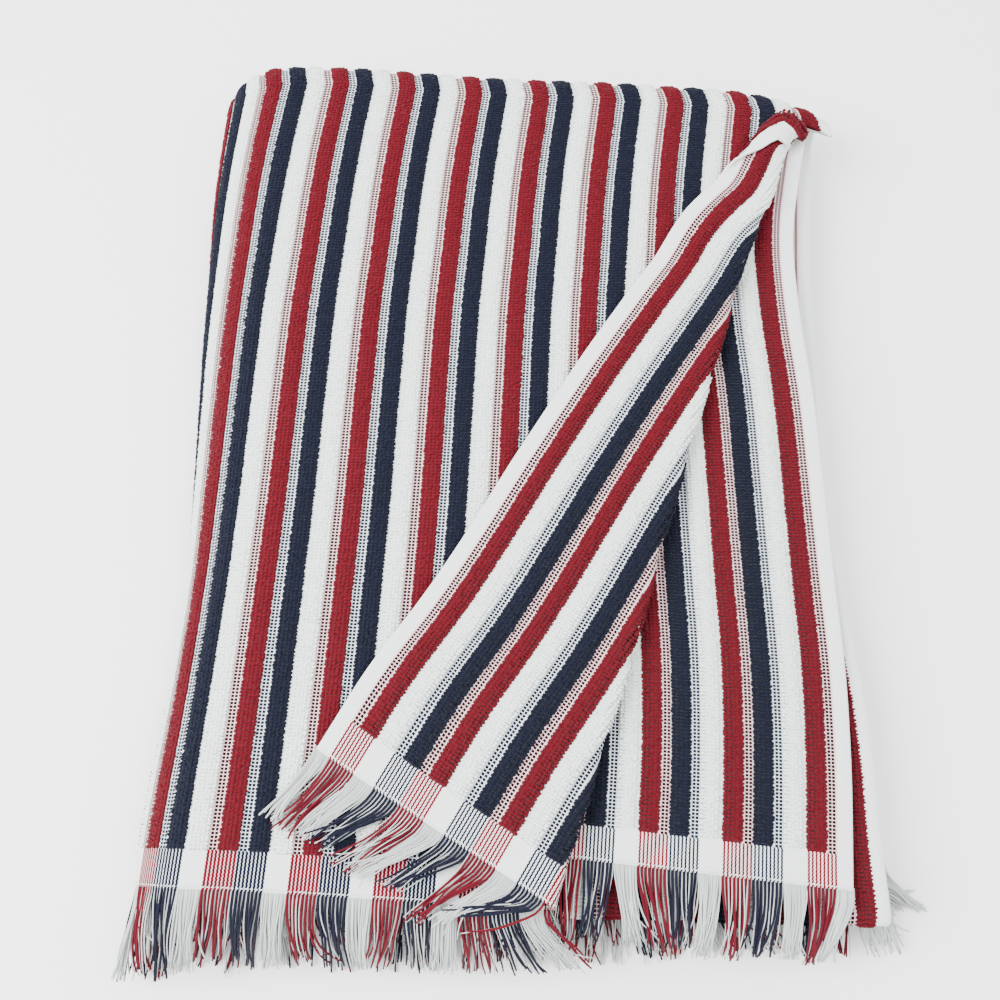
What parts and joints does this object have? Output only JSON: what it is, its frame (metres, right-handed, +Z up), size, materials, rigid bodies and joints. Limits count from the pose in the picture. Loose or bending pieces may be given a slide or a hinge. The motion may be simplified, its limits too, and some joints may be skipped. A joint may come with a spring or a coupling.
{
  "type": "beach towel",
  "caption": "Striped terry beach towel with fringed ends, folded crosswise and lengthwise into a flat pack of layers, one corner turned back.",
  "frame": {"origin": "middle of the underside, on the surface that the folded towel lies on", "axes": "+Z up, +Y along the folded length towards the top fold, +X across it towards the open selvedge side"},
  "size_m": [0.4234, 0.5426, 0.0522],
  "materials": {
    "terry_cloth": "cotton terry with raised loop stripes in red, navy and white over a flat woven ground",
    "fringe_yarn": "loose cotton warp yarns, white with red and navy ones in the line of each stripe"
  },
  "bodies": {
    "root": {"towel_cloth": "terry_cloth", "fringe_front": "fringe_yarn", "fringe_under": "fringe_yarn"}
  },
  "joints": []
}
